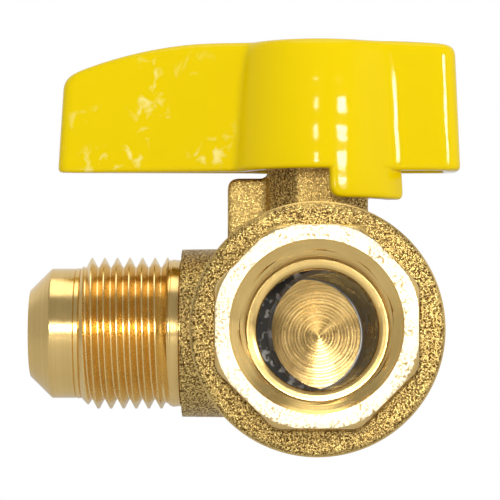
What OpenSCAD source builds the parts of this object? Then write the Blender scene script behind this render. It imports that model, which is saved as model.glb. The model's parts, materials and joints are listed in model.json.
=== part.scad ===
// Angle-pattern quarter-turn gas valve: female pipe port, 45 degree flare outlet, ball, stem and wedge lever.
// Frame: millimetres. The origin is the centre of the pipe port's mouth. +Y runs into the port, +Z runs up
// the stem, and -X runs out of the flare outlet. The lever is stored open, along the flare outlet.

/* [Valve centre] */
// distance from the port's mouth to the stem axis
centre_y = 26; // [25.5:0.25:27]
// outer radius of the body's round belly
belly_r = 15.3; // [15.2:0.1:15.6]
// distance from the port's mouth to the closed back of the body
back_y = 45; // [44.5:0.5:50]

/* [End cap] */
// width across the flats of the machined octagon
octagon_flats = 24.5; // [24:0.1:25.5]
// radius that the octagon's corners are turned down to
octagon_corner_r = 13; // [12.9:0.05:13.2]
// length of the octagon in front of the round flange
octagon_length = 9; // [8:0.5:9.5]
// radius of the round flange
flange_r = 15.65; // [15.5:0.05:16]
// thickness of the round flange
flange_length = 3.5; // [3:0.25:3.5]
// radius of the threaded spigot that screws into the body
spigot_r = 13.2; // [13.1:0.05:13.3]
// distance from the port's mouth to the spigot's inner end
spigot_end_y = 19.9; // [19.6:0.1:20]
// radius of the rubber ring's gland behind the flange
gland_r = 14.3; // [14.25:0.05:14.5]
// length of the rubber ring's gland
gland_length = 1.5; // [1.45:0.05:1.7]
// radius of the spigot under the rubber ring
gland_root_r = 12.9; // [12.8:0.05:12.9]

/* [Female pipe thread] */
// radius of the white face's inner edge, where the lead-in starts
port_mouth_r = 10.55; // [10.5:0.05:10.8]
// radius of the thread's inner crests
port_crest_r = 9.25; // [9.2:0.05:9.3]
// radius of the thread's groove roots
port_root_r = 10.3; // [10:0.05:10.45]
// depth at which the first crest starts
port_lead = 0.45; // [0.4:0.05:0.45]
// depth of the threaded part of the port
port_depth = 13.5; // [13:0.1:13.6]
// distance from one thread groove to the next
port_pitch = 1.814; // [1.814]
// radius of the passage through the shoulder behind the thread
passage_r = 7.5; // [7.4:0.05:7.55]
// distance from the port's mouth to the back of that shoulder
shoulder_back_y = 15.2; // [15.1:0.05:15.3]

/* [Flare outlet] */
// distance from the stem axis to the flare's tip
flare_tip_x = 36.3; // [35.5:0.1:38]
// length of the 45 degree sealing cone
flare_cone_length = 2.7; // [2.5:0.1:2.8]
// radius of the smooth cylinder behind the cone
flare_nose_r = 8.2; // [8:0.05:8.3]
// distance from the stem axis to the thread's outer end
flare_thread_start_x = 30.05; // [29.8:0.05:30.3]
// distance from the stem axis to the thread's inner end
flare_thread_end_x = 19.1; // [19:0.05:19.3]
// radius of the thread's crests
flare_crest_r = 9.525; // [9.525]
// radius of the thread's groove roots
flare_root_r = 8.45; // [8.4:0.01:8.5]
// distance from one thread groove to the next
flare_pitch = 1.5875; // [1.5875]
// radius of the smooth collar behind the thread
flare_collar_r = 9.3; // [9.2:0.05:9.35]
// radius of the rough arm that joins the belly
arm_r = 10.55; // [10.4:0.05:10.8]
// distance from the stem axis to the rough arm's outer face
arm_end_x = 17.1; // [17:0.1:17.6]
// radius of the outlet's bore
flare_bore_r = 5.2; // [5:0.05:5.3]

/* [Ball] */
// radius of the ball
ball_r = 11.5; // [11.4:0.05:11.5]
// radius of the ball's through bore
ball_bore_r = 7.25; // [7.1:0.05:7.25]
// radius of the ball's side hole towards the outlet
ball_side_r = 5.5; // [5.3:0.1:5.6]
// angle by which the ball stands off the port axis with the lever open
ball_turn = 10.5; // [0:0.5:10.5]

/* [Seats and chamber] */
// radius of the pockets that hold the two seats
seat_pocket_r = 11; // [10.95:0.05:11.05]
// inner radius of the two seats
seat_inner_r = 7.7; // [7.6:0.05:7.9]
// distance from the ball's centre to the far face of each seat
seat_reach = 10.75; // [10.7:0.01:10.75]
// distance from the ball's centre to the near face of each seat
seat_near = 7.1; // [7.05:0.05:7.3]
// radius of the ball's chamber
chamber_r = 11.8; // [11.8:0.05:11.9]
// radius of the drilled pocket behind the rear seat
rear_drill_r = 7.6; // [7.5:0.05:7.6]
// distance from the ball's centre to where the drilled pocket's cone starts
rear_drill_end = 12; // [11.9:0.1:12.1]
// full angle of the drill's point
drill_angle = 160; // [118:2:160]

/* [Bonnet] */
// width across the flats of the eight-sided neck around the stem
neck_flats = 12.6; // [12.5:0.1:12.8]
// height of the neck's top above the port axis
neck_top_z = 22; // [21.5:0.1:22.1]
// height of the left stop lug's top above the port axis
lug_top_z = 19.5; // [19.2:0.1:19.6]
// distance the left stop lug reaches from the stem axis
left_lug_x = 11.4; // [11:0.1:11.6]
// distance the right stop lug reaches from the stem axis
right_lug_reach = 9.9; // [9.7:0.1:10]
// height of the right stop lug's underside
right_lug_bottom_z = 17.3; // [17.3:0.1:17.6]
// how far the left lug's stop face stands in front of the stem axis
left_lug_front = 1.3; // [1.2:0.05:1.4]
// thickness of the left stop lug
left_lug_thickness = 4.5; // [4:0.25:5]
// thickness of the right stop lug
right_lug_thickness = 2.4; // [2.2:0.1:2.6]
// angle of the right lug's stop face, measured from +X
right_lug_angle = -24; // [-24:0.5:-22]
// radius of the rounded corners on the lugs
lug_corner_r = 1; // [0.8:0.1:1.2]

/* [Stem] */
// radius of the stem's shaft
stem_r = 3.8; // [3.75:0.01:3.82]
// radius of the stem's inner collar
stem_collar_r = 5.6; // [5.5:0.05:5.65]
// height of the stem's top end above the port axis
stem_top_z = 29.8; // [29:0.1:29.8]
// distance from the stem's middle to each of its two flats
stem_flat = 2.7; // [2.6:0.05:2.8]
// radial depth of the two ring grooves
stem_groove_depth = 1.15; // [1.15:0.01:1.18]
// thickness of the tang in the ball's slot
tang_thickness = 5; // [4.8:0.1:5]
// length of the tang in the ball's slot
tang_length = 9; // [8.6:0.1:9]
// height of the tang's underside above the port axis
tang_bottom_z = 9; // [9:0.05:9.1]
// height of the stem collar's underside
collar_bottom_z = 11.7; // [11.65:0.05:11.75]
// height of the stem collar's top
collar_top_z = 13.4; // [13.3:0.05:13.4]
// height of the body's inner ledge above the thrust washer
ledge_z = 14.3; // [14.3:0.05:14.4]

/* [Handle] */
// height of the lever's underside above the port axis
handle_bottom_z = 20.1; // [20.1:0.1:20.4]
// height of the lever's top above the port axis
handle_top_z = 36.4; // [36:0.1:37]
// radius of the hub at its underside
hub_bottom_r = 11.75; // [11.7:0.05:11.9]
// radius of the hub at its top
hub_top_r = 10.75; // [10.7:0.05:10.9]
// distance from the stem axis to the long arm's tip
arm_tip_x = 32.9; // [32:0.1:35]
// half the arm's width where it meets the hub
arm_half_width = 6; // [5.8:0.1:6.2]
// half the arm's width at its tip
arm_tip_half_width = 1.9; // [1.8:0.1:2.2]
// distance from the stem axis to the tail's end
tail_x = 17.3; // [17:0.1:18]
// half the tail's width
tail_half_width = 7.4; // [7.2:0.1:7.6]
// thickness of the lever's side walls
handle_wall = 2.1; // [2:0.05:2.2]
// thickness of the lever's roof
handle_roof = 3; // [2.8:0.1:3.1]
// radius of the boss that takes the stem
boss_r = 6.9; // [6.8:0.05:7]
// thickness of the rib along the lever's middle
rib_thickness = 1.8; // [1.6:0.1:2]
// radius of the recess around the screw head
recess_r = 5.2; // [5:0.1:5.3]
// height of the recess's floor
recess_floor_z = 31.5; // [31.4:0.1:31.8]
// height of the stop tab's lower edge
tab_bottom_z = 16.4; // [16.3:0.1:16.6]
// radial thickness of the stop tab
tab_thickness = 2.3; // [2.2:0.05:2.4]
// angle of the stop tab's leading edge, measured from +X
tab_start_angle = -82; // [-82:0.5:-81]
// angle of the stop tab's trailing edge, measured from +X
tab_end_angle = -26; // [-28:0.5:-26]

/* [Handle screw] */
// radius of the screw's thread
screw_r = 1.95; // [1.9:0.01:1.97]
// radius of the screw's head
screw_head_r = 3.9; // [3.7:0.1:4]
// thickness of the screw's head
screw_head_height = 2.6; // [2.4:0.1:2.8]
// thickness of the lock washer
lock_washer_thickness = 0.9; // [0.8:0.05:1]

/* [Hidden] */
// facets used only to draw circles
$fn = 96;
// colours, as seen on the object
rough_brass = [0.66, 0.50, 0.25];
turned_brass = [0.85, 0.68, 0.35];
chrome_grey = [0.75, 0.76, 0.78];
handle_yellow = [0.95, 0.83, 0.02];
seat_white = [0.93, 0.92, 0.88];
rubber_black = [0.06, 0.06, 0.06];
zinc_grey = [0.62, 0.63, 0.65];
// running gap between a turning part and the part around it
gap = 0.05;
// length by which a cutter runs past the face it cuts
cut = 1;
// width of the flat land on each thread crest
thread_land = 0.3;
// radial size of the small edge chamfers
edge = 0.5;
// half angle of the drill's point
drill_half = drill_angle / 2;
// end of the threaded spigot's flange
flange_back_y = octagon_length + flange_length;
// corner radius of the body's closed back
back_round = 8;
// where each seat pocket meets the ball's chamber
pocket_near = 6.8;
// middle radius and thickness of the cap's rubber ring
seal_mid_r = (gland_root_r + gland_r) / 2;
seal_section_r = (gland_r - gland_root_r) / 2 - gap;
// radius of the stem's bore in the neck
stem_bore_r = stem_r + gap;
// radius of the pocket for the stem's collar
collar_pocket_r = stem_collar_r + 0.3;
// middle heights of the two ring grooves, and their width
groove_heights = [16.3, 19.2];
groove_width = 1.5;
// section and middle radius of the rings on the stem
ring_section_r = 0.55;
ring_mid_r = stem_bore_r - 0.02 - ring_section_r;
// gap between the tang and the ball's slot
slot_gap = 0.08;
// radius of the holes that the screw passes
screw_hole_r = screw_r + gap;
// bottom of the screw's thread and of the stem's tapped hole
screw_bottom_z = 23.5;
tapped_bottom_z = 22.6;
// underside of the web that the screw clamps
web_bottom_z = stem_top_z + 0.2;
// underside of the boss, just over the neck's top
boss_bottom_z = neck_top_z + 0.2;
// side view of the arm's top: where its curve starts, and its radius
arm_curve_x = 12;
arm_curve_r = 56;
// corner radii on the tail, in side view and in top view
tail_corner_r = 1.5;
tail_plan_corner_r = 2;
// inner radius of the lever's hollow hub
hub_inner_r = hub_top_r - 1.3;
// slot in the screw's head
slot_width = 1;
slot_depth = 1.1;
// gap in the split lock washer
washer_split = 0.6;

// Stands its children on the port axis, with their Z running along +Y.
module along_port(y = 0) {
  translate([0, y, 0]) rotate([-90, 0, 0]) children();
}

// Stands its children on the flare axis, with their Z running out along -X.
module along_flare(x = 0) {
  translate([-x, centre_y, 0]) rotate([0, -90, 0]) children();
}

// Stands its children on the stem axis.
module on_stem(z = 0) {
  translate([0, centre_y, z]) children();
}

// A round bar or bore along the port axis from y0 to y1.
module port_bar(r, y0, y1) {
  along_port(y0) cylinder(r = r, h = y1 - y0);
}

// A round bar or bore along the flare axis from x0 out to x1.
module flare_bar(r, x0, x1) {
  along_flare(x0) cylinder(r = r, h = x1 - x0);
}

// A round bar or bore along the stem axis from z0 up to z1.
module stem_bar(r, z0, z1) {
  on_stem(z0) cylinder(r = r, h = z1 - z0);
}

// One V-shaped groove in a shaft: r_crest is the shaft's radius and r_root the groove's.
module outer_groove(r_crest, r_root, pitch) {
  half = (pitch - thread_land) / 2;
  slope = half / (r_crest - r_root);
  rotate_extrude()
    polygon([[r_root, 0], [r_crest + cut, -(r_crest + cut - r_root) * slope],
             [r_crest + cut, (r_crest + cut - r_root) * slope]]);
}

// One V-shaped groove in a bore, as the ring of metal that is cut away.
module inner_groove(r_crest, r_root, pitch) {
  half = (pitch - thread_land) / 2;
  rotate_extrude()
    polygon([[r_crest - cut, -half], [r_crest, -half], [r_root, 0], [r_crest, half], [r_crest - cut, half]]);
}

// A stop lug that reaches out along +X, with its stop face on the stem axis and its top corner rounded.
module lug(reach, z_from, z_to, thickness) {
  translate([0, thickness, 0]) rotate([90, 0, 0]) linear_extrude(thickness) {
    translate([0, z_from]) square([reach - lug_corner_r, z_to - z_from]);
    translate([0, z_from]) square([reach, z_to - z_from - lug_corner_r]);
    translate([reach - lug_corner_r, z_to - lug_corner_r]) circle(lug_corner_r);
  }
}

// The belly with a rounded closed back.
module belly() {
  along_port(flange_back_y) rotate_extrude() {
    square([belly_r, back_y - flange_back_y - back_round]);
    square([belly_r - back_round, back_y - flange_back_y]);
    translate([belly_r - back_round, back_y - flange_back_y - back_round])
      intersection() {
        circle(back_round);
        square(back_round);
      }
  }
}

// The flare arm's outside: rough root, collar, thread blank and nose cone.
module flare_outside() {
  flare_bar(arm_r, 0, arm_end_x);
  flare_bar(flare_collar_r, arm_end_x - cut, flare_thread_end_x);
  flare_bar(flare_crest_r, flare_thread_end_x - thread_land, flare_thread_start_x);
  flare_bar(flare_nose_r, flare_thread_start_x - cut, flare_tip_x - flare_cone_length);
  along_flare(flare_tip_x - flare_cone_length)
    cylinder(r1 = flare_nose_r, r2 = flare_nose_r - flare_cone_length, h = flare_cone_length);
}

// Every V groove of the flare thread.
module flare_grooves() {
  grooves = round((flare_thread_start_x - flare_thread_end_x) / flare_pitch);
  for (i = [0 : grooves - 1])
    along_flare(flare_thread_end_x + flare_pitch * (i + 0.5))
      outer_groove(flare_crest_r, flare_root_r, flare_pitch);
}

// The eight-sided neck and the two stop lugs.
module bonnet() {
  on_stem() rotate([0, 0, 22.5]) cylinder(r = neck_flats / 2 / cos(22.5), h = neck_top_z, $fn = 8);
  translate([0, centre_y - left_lug_front, 0]) mirror([1, 0, 0])
    lug(left_lug_x, 0, lug_top_z, left_lug_thickness);
  on_stem() rotate([0, 0, right_lug_angle])
    lug(right_lug_reach, right_lug_bottom_z, lug_top_z, right_lug_thickness);
}

// Every hollow inside the body.
module body_hollows() {
  port_bar(spigot_r + gap, flange_back_y - cut, spigot_end_y + gap);
  port_bar(gland_r, flange_back_y - cut, flange_back_y + gland_length);
  port_bar(chamber_r, spigot_end_y, centre_y + pocket_near);
  port_bar(seat_pocket_r, centre_y, centre_y + seat_reach + gap);
  port_bar(rear_drill_r, centre_y, centre_y + rear_drill_end);
  along_port(centre_y + rear_drill_end)
    cylinder(r1 = rear_drill_r, r2 = 0, h = rear_drill_r / tan(drill_half));
  flare_bar(flare_bore_r, 0, flare_tip_x + cut);
  stem_bar(collar_pocket_r, 0, ledge_z);
  stem_bar(stem_bore_r, 0, neck_top_z + cut);
}

// Forged body: belly, flare arm, neck and stop lugs.
module valve_body() color(rough_brass) {
  difference() {
    union() {
      belly();
      flare_outside();
      bonnet();
    }
    flare_grooves();
    body_hollows();
  }
}

// The octagon that a wrench holds, with its corners turned down.
module octagon() {
  intersection() {
    along_port() rotate([0, 0, 22.5])
      cylinder(r = octagon_flats / 2 / cos(22.5), h = octagon_length + cut, $fn = 8);
    port_bar(octagon_corner_r, 0, octagon_length + cut);
  }
}

// Every V groove of the female pipe thread.
module port_grooves() {
  grooves = floor((port_depth - port_lead) / port_pitch);
  for (i = [0 : grooves - 1])
    along_port(port_lead + port_pitch * (i + 0.5)) inner_groove(port_crest_r, port_root_r, port_pitch);
}

// End cap: octagon, round flange, female thread, and the spigot that holds the front seat.
module end_cap() color(turned_brass) {
  difference() {
    union() {
      octagon();
      port_bar(flange_r, octagon_length, flange_back_y);
      port_bar(gland_root_r, octagon_length, spigot_end_y);
      port_bar(spigot_r, flange_back_y + gland_length, spigot_end_y);
    }
    port_bar(port_crest_r, -cut, port_depth);
    along_port() cylinder(r1 = port_mouth_r, r2 = port_crest_r, h = port_lead);
    port_grooves();
    port_bar(passage_r, 0, shoulder_back_y + cut);
    port_bar(seat_pocket_r, shoulder_back_y, spigot_end_y + cut);
  }
}

// Rubber ring in the gland behind the flange.
module cap_seal_ring() color(rubber_black) {
  along_port(flange_back_y + gland_length / 2)
    rotate_extrude() translate([seal_mid_r, 0]) circle(seal_section_r);
}

// One seat, drawn behind the ball's centre, with its near face cut to the ball's curve.
module seat() {
  difference() {
    port_bar(seat_pocket_r - gap, seat_near, seat_reach);
    port_bar(seat_inner_r, seat_near - cut, seat_reach + cut);
    sphere(ball_r + gap);
  }
}

// Seat between the end cap and the ball.
module front_seat() color(seat_white) {
  translate([0, centre_y, 0]) mirror([0, 1, 0]) seat();
}

// Seat between the ball and the back of the body.
module rear_seat() color(seat_white) {
  translate([0, centre_y, 0]) seat();
}

// Plated ball with a through bore, a side hole to the outlet, and a slot for the stem's tang.
module ball() color(chrome_grey) {
  translate([0, centre_y, 0]) difference() {
    sphere(ball_r);
    rotate([0, 0, ball_turn]) {
      rotate([90, 0, 0]) cylinder(r = ball_bore_r, h = 2 * ball_r + cut, center = true);
      rotate([0, -90, 0]) cylinder(r = ball_side_r, h = ball_r + cut);
    }
    translate([-ball_r, -tang_thickness / 2 - slot_gap, tang_bottom_z - slot_gap])
      cube([2 * ball_r, tang_thickness + 2 * slot_gap, ball_r]);
  }
}

// Blow-out-proof stem: tang, collar, grooved shaft, two flats and a tapped hole.
module stem() color(turned_brass) {
  difference() {
    union() {
      on_stem() intersection() {
        translate([-tang_length / 2, -tang_thickness / 2, tang_bottom_z])
          cube([tang_length, tang_thickness, collar_top_z - tang_bottom_z]);
        cylinder(r = stem_collar_r, h = collar_top_z);
      }
      stem_bar(stem_collar_r, collar_bottom_z, collar_top_z);
      stem_bar(stem_r, collar_bottom_z, stem_top_z);
    }
    for (z = groove_heights) on_stem(z - groove_width / 2) difference() {
      cylinder(r = stem_collar_r, h = groove_width);
      translate([0, 0, -cut]) cylinder(r = stem_r - stem_groove_depth, h = groove_width + 2 * cut);
    }
    for (side = [0, 1]) on_stem(neck_top_z) mirror([0, side, 0])
      translate([-stem_collar_r, stem_flat, 0]) cube([2 * stem_collar_r, stem_collar_r, stem_top_z]);
    stem_bar(screw_hole_r, tapped_bottom_z, stem_top_z + cut);
  }
}

// Slippery washer between the stem's collar and the body's ledge.
module stem_thrust_washer() color(seat_white) {
  difference() {
    stem_bar(stem_collar_r - gap, collar_top_z + gap, ledge_z);
    stem_bar(stem_bore_r, collar_top_z, ledge_z + cut);
  }
}

// One rubber ring on the stem.
module stem_ring(z) {
  on_stem(z) rotate_extrude() translate([ring_mid_r, 0]) circle(ring_section_r);
}

// Rubber ring in the lower groove.
module stem_o_ring_lower() color(rubber_black) stem_ring(groove_heights[0]);

// Rubber ring in the upper groove.
module stem_o_ring_upper() color(rubber_black) stem_ring(groove_heights[1]);

// The lever's arm seen from above, made narrower by inset.
module arm_plan(inset) {
  polygon([[0, arm_half_width + 1 - inset], [-arm_tip_x + inset, arm_tip_half_width - inset * 0.6],
           [-arm_tip_x + inset, -arm_tip_half_width + inset * 0.6], [0, -arm_half_width - 1 + inset]]);
}

// The lever's tail seen from above, made smaller by inset.
module tail_plan(inset) {
  corner = tail_plan_corner_r - inset / 2;
  end_x = tail_x - inset;
  half = tail_half_width - inset;
  translate([0, -half]) square([end_x - corner, 2 * half]);
  translate([0, corner - half]) square([end_x, 2 * (half - corner)]);
  for (side = [-1, 1]) translate([end_x - corner, side * (half - corner)]) circle(corner);
}

// The lever seen from the side, from its bottom edge up to top_z, made smaller by inset.
module side_view(inset, top_z, bottom_z) {
  intersection() {
    translate([-arm_tip_x, bottom_z]) square([arm_tip_x + tail_x, top_z - bottom_z]);
    union() {
      translate([-arm_curve_x, bottom_z]) square([arm_curve_x + tail_x - tail_corner_r, top_z - bottom_z]);
      translate([0, bottom_z]) square([tail_x, top_z - bottom_z - tail_corner_r]);
      translate([tail_x - tail_corner_r, top_z - tail_corner_r]) circle(tail_corner_r);
      translate([-arm_curve_x, handle_top_z - arm_curve_r]) circle(arm_curve_r - inset);
    }
  }
}

// The lever's arm and tail as a solid of the given plan and side view.
module lever_bar(inset, top_z, bottom_z) {
  intersection() {
    on_stem(bottom_z) linear_extrude(top_z - bottom_z) {
      arm_plan(inset);
      tail_plan(inset);
    }
    translate([0, centre_y + hub_bottom_r, 0]) rotate([90, 0, 0])
      linear_extrude(2 * hub_bottom_r) side_view(inset, top_z, bottom_z);
  }
}

// A pie slice between two angles, used to trim the stop tab.
module slice(from_angle, to_angle, reach) {
  steps = 6;
  step = (to_angle - from_angle) / steps;
  polygon(concat([[0, 0]], [for (i = [0 : steps])
    [reach * cos(from_angle + i * step), reach * sin(from_angle + i * step)]]));
}

// The tab under the hub that meets the stop lugs.
module stop_tab() {
  on_stem(tab_bottom_z) intersection() {
    difference() {
      cylinder(r = hub_bottom_r, h = handle_bottom_z - tab_bottom_z + cut);
      translate([0, 0, -cut]) cylinder(r = hub_bottom_r - tab_thickness, h = 2 * hub_bottom_r);
    }
    linear_extrude(2 * hub_bottom_r) slice(tab_start_angle, tab_end_angle, 2 * hub_bottom_r);
  }
}

// The boss inside the hub, with the rib that runs the length of the lever.
module boss_and_rib() {
  stem_bar(boss_r, boss_bottom_z, handle_top_z - cut);
  intersection() {
    lever_bar(0, handle_top_z, handle_bottom_z + cut);
    on_stem(boss_bottom_z) translate([-arm_tip_x + cut, -rib_thickness / 2, 0])
      cube([arm_tip_x + tail_x - 2 * cut, rib_thickness, handle_top_z - cut - boss_bottom_z]);
  }
}

// The holes that take the stem's flats, the screw and the screw's head.
module handle_bores() {
  on_stem(boss_bottom_z - cut) intersection() {
    cylinder(r = stem_bore_r, h = web_bottom_z - boss_bottom_z + cut);
    translate([-stem_collar_r, -stem_flat - gap, 0])
      cube([2 * stem_collar_r, 2 * (stem_flat + gap), handle_top_z]);
  }
  stem_bar(screw_hole_r + gap, web_bottom_z - cut, handle_top_z);
  stem_bar(recess_r, recess_floor_z, handle_top_z + cut);
}

// Coated die-cast lever: long arm, round hub, short tail and the stop tab.
module handle() color(handle_yellow) {
  roof_z = handle_top_z - handle_roof;
  difference() {
    union() {
      difference() {
        union() {
          lever_bar(0, handle_top_z, handle_bottom_z);
          on_stem(handle_bottom_z)
            cylinder(r1 = hub_bottom_r, r2 = hub_top_r, h = handle_top_z - handle_bottom_z);
        }
        lever_bar(handle_wall, roof_z, handle_bottom_z - cut);
        stem_bar(hub_inner_r, handle_bottom_z - cut, roof_z);
      }
      boss_and_rib();
      stop_tab();
    }
    handle_bores();
  }
}

// Slotted screw that clamps the lever to the stem.
module handle_screw() color(zinc_grey) {
  head_z = recess_floor_z + lock_washer_thickness;
  difference() {
    union() {
      stem_bar(screw_r, screw_bottom_z, head_z + edge);
      stem_bar(screw_head_r, head_z, head_z + screw_head_height - edge);
      on_stem(head_z + screw_head_height - edge)
        cylinder(r1 = screw_head_r, r2 = screw_head_r - edge, h = edge);
    }
    on_stem(head_z + screw_head_height - slot_depth)
      translate([-screw_head_r - cut, -slot_width / 2, 0])
        cube([2 * (screw_head_r + cut), slot_width, slot_depth + cut]);
  }
}

// Split lock washer under the screw's head.
module lock_washer() color(zinc_grey) {
  difference() {
    stem_bar(screw_head_r - edge, recess_floor_z, recess_floor_z + lock_washer_thickness);
    stem_bar(screw_hole_r + gap, recess_floor_z - cut, handle_top_z);
    on_stem(recess_floor_z - cut) translate([0, -washer_split / 2, 0])
      cube([screw_head_r, washer_split, lock_washer_thickness + 2 * cut]);
  }
}

valve_body();
end_cap();
cap_seal_ring();
front_seat();
rear_seat();
ball();
stem();
stem_thrust_washer();
stem_o_ring_lower();
stem_o_ring_upper();
handle();
handle_screw();
lock_washer();
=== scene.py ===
"""Looks of an angle-pattern gas valve: forged and turned brass, a plated ball and a yellow coated lever.

Frame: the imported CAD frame. The origin is the centre of the pipe port's mouth, +Y runs into the port,
+Z runs up the stem, and -X runs out of the flare outlet. Shapes are written in millimetres and turned
into metres once. Profiles are lists of (distance along the axis, radius).
"""
import json
import math

import bmesh
import bpy
import numpy as np
import openvdb
from mathutils import Matrix, Vector


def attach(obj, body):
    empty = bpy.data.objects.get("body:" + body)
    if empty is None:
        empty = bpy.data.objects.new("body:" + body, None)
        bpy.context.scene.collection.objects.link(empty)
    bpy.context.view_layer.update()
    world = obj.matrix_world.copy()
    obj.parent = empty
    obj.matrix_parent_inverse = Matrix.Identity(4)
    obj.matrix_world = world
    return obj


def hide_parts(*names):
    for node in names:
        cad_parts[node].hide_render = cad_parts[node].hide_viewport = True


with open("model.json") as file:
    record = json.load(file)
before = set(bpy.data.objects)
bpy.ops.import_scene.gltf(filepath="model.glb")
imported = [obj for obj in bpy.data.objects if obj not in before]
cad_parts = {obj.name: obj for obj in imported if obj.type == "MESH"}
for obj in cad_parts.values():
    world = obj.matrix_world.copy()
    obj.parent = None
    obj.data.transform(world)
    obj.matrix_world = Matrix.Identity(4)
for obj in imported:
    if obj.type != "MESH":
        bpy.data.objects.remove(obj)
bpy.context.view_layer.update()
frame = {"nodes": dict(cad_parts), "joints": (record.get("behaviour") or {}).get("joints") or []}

MM = 0.001
TURN = 2.0 * math.pi
STEM_Y = round(next(j["pos_m"][1] for j in frame["joints"] if j["name"] == "handle_turn") / MM, 6)


# ---------------------------------------------------------------- meshes

def mesh_object(name, points_mm, faces, body, smooth_angle=35.0):
    """A mesh piece from points in millimetres, riding on a CAD body."""
    mesh = bpy.data.meshes.new(name)
    mesh.from_pydata([tuple(p) for p in np.asarray(points_mm, float) * MM], [], faces)
    mesh.validate()
    obj = bpy.data.objects.new(name, mesh)
    bpy.context.scene.collection.objects.link(obj)
    tidy_mesh(obj)
    shade(obj, smooth_angle)
    if body:
        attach(obj, body)
    return obj


def tidy_mesh(obj, merge_mm=0.002):
    """Welds doubled points, drops empty faces and turns every face outward."""
    bm = bmesh.new()
    bm.from_mesh(obj.data)
    bmesh.ops.remove_doubles(bm, verts=bm.verts, dist=merge_mm * MM)
    bmesh.ops.dissolve_degenerate(bm, edges=bm.edges, dist=merge_mm * MM * 0.5)
    bmesh.ops.recalc_face_normals(bm, faces=bm.faces)
    bm.to_mesh(obj.data)
    bm.free()


def shade(obj, smooth_angle):
    """Smooth shading, with edges sharper than the angle left crisp."""
    obj.data.shade_smooth()
    obj.data.set_sharp_from_angle(angle=math.radians(smooth_angle))


def axis_frame(axis):
    """Origin, direction and two cross directions of a named machining axis, in millimetres."""
    if axis == "port":
        return (0, 0, 0), (0, 1, 0), (1, 0, 0), (0, 0, -1)
    if axis == "flare":
        return (0, STEM_Y, 0), (-1, 0, 0), (0, 1, 0), (0, 0, -1)
    return (0, STEM_Y, 0), (0, 0, 1), (1, 0, 0), (0, 1, 0)


def grid_points(axis, along, radius, angles):
    """Points of a turned surface: arrays [angle, row] of distance along the axis and of radius."""
    origin, d, u, v = (np.array(a, float) for a in axis_frame(axis))
    c = np.cos(angles)[:, None, None]
    s = np.sin(angles)[:, None, None]
    return origin + d * along[..., None] + radius[..., None] * (u * c + v * s)


def supported(profile, long=0.6, near=0.04):
    """A profile with extra points close to the ends of its long edges, so that flat faces shade flat."""
    points = []
    for a, b in zip(profile, profile[1:]):
        points.append(a)
        length = math.dist(a, b)
        if length > long:
            for share in (near / length, 1.0 - near / length):
                points.append((a[0] + (b[0] - a[0]) * share, a[1] + (b[1] - a[1]) * share))
    return points + [profile[-1]]


def full_turn(steps):
    """Evenly spaced angles all the way round."""
    return np.arange(steps) * TURN / steps


def turned(name, axis, profile, body, steps=192, smooth_angle=35.0):
    """A turned piece: profile is a closed loop of (distance along the axis, radius)."""
    along, radius = all_round(supported(profile), steps)
    return swept(name, axis, along, radius, full_turn(steps), body, smooth_angle=smooth_angle)


def swept(name, axis, along, radius, angles, body, helix=None, smooth_angle=35.0):
    """A turned surface whose rows may hold one helical thread.

    helix is (first row, last row, rows per turn), with rows per turn below zero where the thread's rows
    run backwards. The last angle joins the first one turn further along the thread.
    """
    points = grid_points(axis, along, radius, angles)
    steps, rows = along.shape

    def next_row(k):
        if helix and helix[0] <= k <= helix[1]:
            return min(max(k + helix[2], helix[0]), helix[1])
        return k

    on_axis = radius.max(0)[0] == 0.0 and radius.max(0)[-1] == 0.0
    faces = []
    for j in range(steps):
        last = j == steps - 1
        for k in range(rows - 1 if on_axis else rows):
            k2 = (k + 1) % rows
            a, b = (next_row(k), next_row(k2)) if last else (k, k2)
            j2 = 0 if last else j + 1
            faces.append([j * rows + k, j * rows + k2, j2 * rows + b, j2 * rows + a])
    return mesh_object(name, points.reshape(-1, 3), faces, body, smooth_angle)


def all_round(profile, steps):
    """A profile's distances and radii, repeated at every angle."""
    along, radius = np.array(profile, float).T
    return np.tile(along, (steps, 1)), np.tile(radius, (steps, 1))


def side_by_side(*parts):
    """Joins parts of (distances, radii) into the rows of one swept surface."""
    return [np.hstack(column) for column in zip(*parts)]


def cutter(name, axis, profile, material, steps=192):
    """A turned cutter that leaves its material on the faces it makes."""
    tool = turned(name, axis, profile, None, steps)
    tool.data.materials.append(material)
    return tool


def box_cutter(name, low, high, material=None):
    """A box-shaped cutter between two corners in millimetres."""
    bm = bmesh.new()
    bmesh.ops.create_cube(bm, size=1.0)
    for v in bm.verts:
        for i in range(3):
            v.co[i] = (low[i] if v.co[i] < 0 else high[i]) * MM
    mesh = bpy.data.meshes.new(name)
    bm.to_mesh(mesh)
    bm.free()
    if material:
        mesh.materials.append(material)
    obj = bpy.data.objects.new(name, mesh)
    bpy.context.scene.collection.objects.link(obj)
    return obj


def subtract(target, cutters):
    """Cuts each cutter out of the target, then removes the cutter."""
    for cutter in cutters:
        boolean(target, cutter, "DIFFERENCE")


def boolean(target, other, operation):
    """One boolean on real meshes, with the other object's materials carried over."""
    mod = target.modifiers.new("cut", "BOOLEAN")
    mod.operation = operation
    mod.solver = "MANIFOLD"
    mod.material_mode = "TRANSFER"
    mod.object = other
    bpy.context.view_layer.update()
    depsgraph = bpy.context.evaluated_depsgraph_get()
    made = bpy.data.meshes.new_from_object(target.evaluated_get(depsgraph))
    target.modifiers.remove(mod)
    old = target.data
    target.data = made
    made.name = target.name
    bpy.data.meshes.remove(old)
    bpy.data.objects.remove(other)


# ---------------------------------------------------------------- soft-edged solids from distance fields

def smooth_max(a, b, k):
    """The larger of two distance fields, with the edge between them rounded by about k."""
    h = np.clip(0.5 + 0.5 * (a - b) / k, 0.0, 1.0)
    return b + (a - b) * h + k * h * (1.0 - h)


def smooth_min(a, b, k):
    """The smaller of two distance fields, with the corner between them filled by about k."""
    return -smooth_max(-a, -b, k)


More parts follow.
